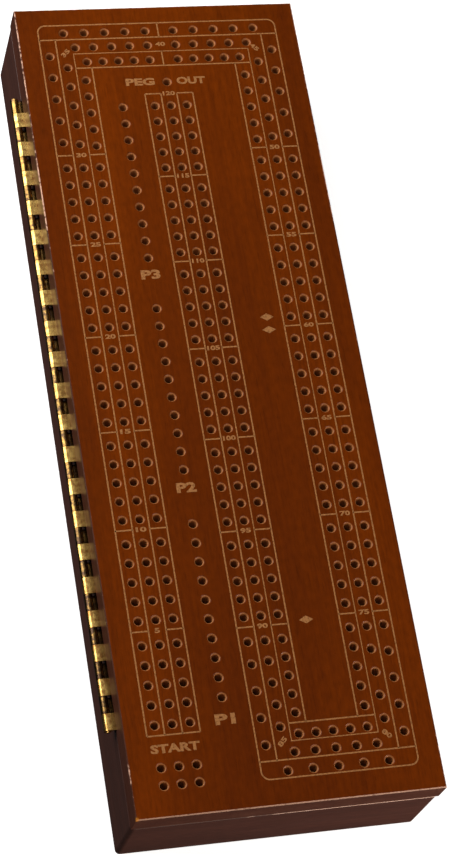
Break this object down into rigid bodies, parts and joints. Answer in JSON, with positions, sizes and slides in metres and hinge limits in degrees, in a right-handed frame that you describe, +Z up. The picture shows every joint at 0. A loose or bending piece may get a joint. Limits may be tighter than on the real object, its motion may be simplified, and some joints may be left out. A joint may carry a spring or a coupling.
{
  "type": "cribbage board box",
  "caption": "Long wooden storage box with a hinged lid that is a cribbage board, drilled with three-lane peg tracks, with pegs inside.",
  "frame": {"origin": "middle of the underside, where the box rests on a table", "axes": "+X to the right of a player at the start end, +Y along the board from the start end to the far end, +Z up"},
  "size_m": [0.1319, 0.3682, 0.0508],
  "materials": {
    "board_wood": "stained and lacquered, semi-gloss",
    "dark_wood": "dark stained, satin",
    "floor_wood": "plain sanded plywood",
    "brass_sheet": "brushed, lacquered",
    "brass_screw": "bright",
    "brass_pin": "drawn wire",
    "nickel": "nickel plated",
    "red_plastic": "moulded, gloss",
    "white_plastic": "moulded, gloss",
    "blue_plastic": "moulded, gloss"
  },
  "bodies": {
    "tray": {"hinge_side_rail": "dark_wood", "free_side_rail": "dark_wood", "far_end_rail": "dark_wood", "start_end_rail": "dark_wood", "far_divider": "dark_wood", "near_divider": "dark_wood", "floor_panel": "floor_wood", "tray_magnets": "nickel", "tray_hinge_leaf": "brass_sheet", "tray_leaf_screws": "brass_screw", "hinge_pin": "brass_pin", "red_pegs": "red_plastic", "white_pegs": "white_plastic", "blue_pegs": "blue_plastic"},
    "lid": {"playing_board": "board_wood", "lid_hinge_leaf": "brass_sheet", "lid_leaf_screws": "brass_screw", "lid_magnets": "nickel"}
  },
  "joints": [
    {"name": "lid_hinge", "type": "hinge", "parent": "tray", "child": "lid", "pos_m": [-0.06665, 0, 0.03795], "axis": [0, -1, 0], "range_deg": [0, 190]}
  ]
}
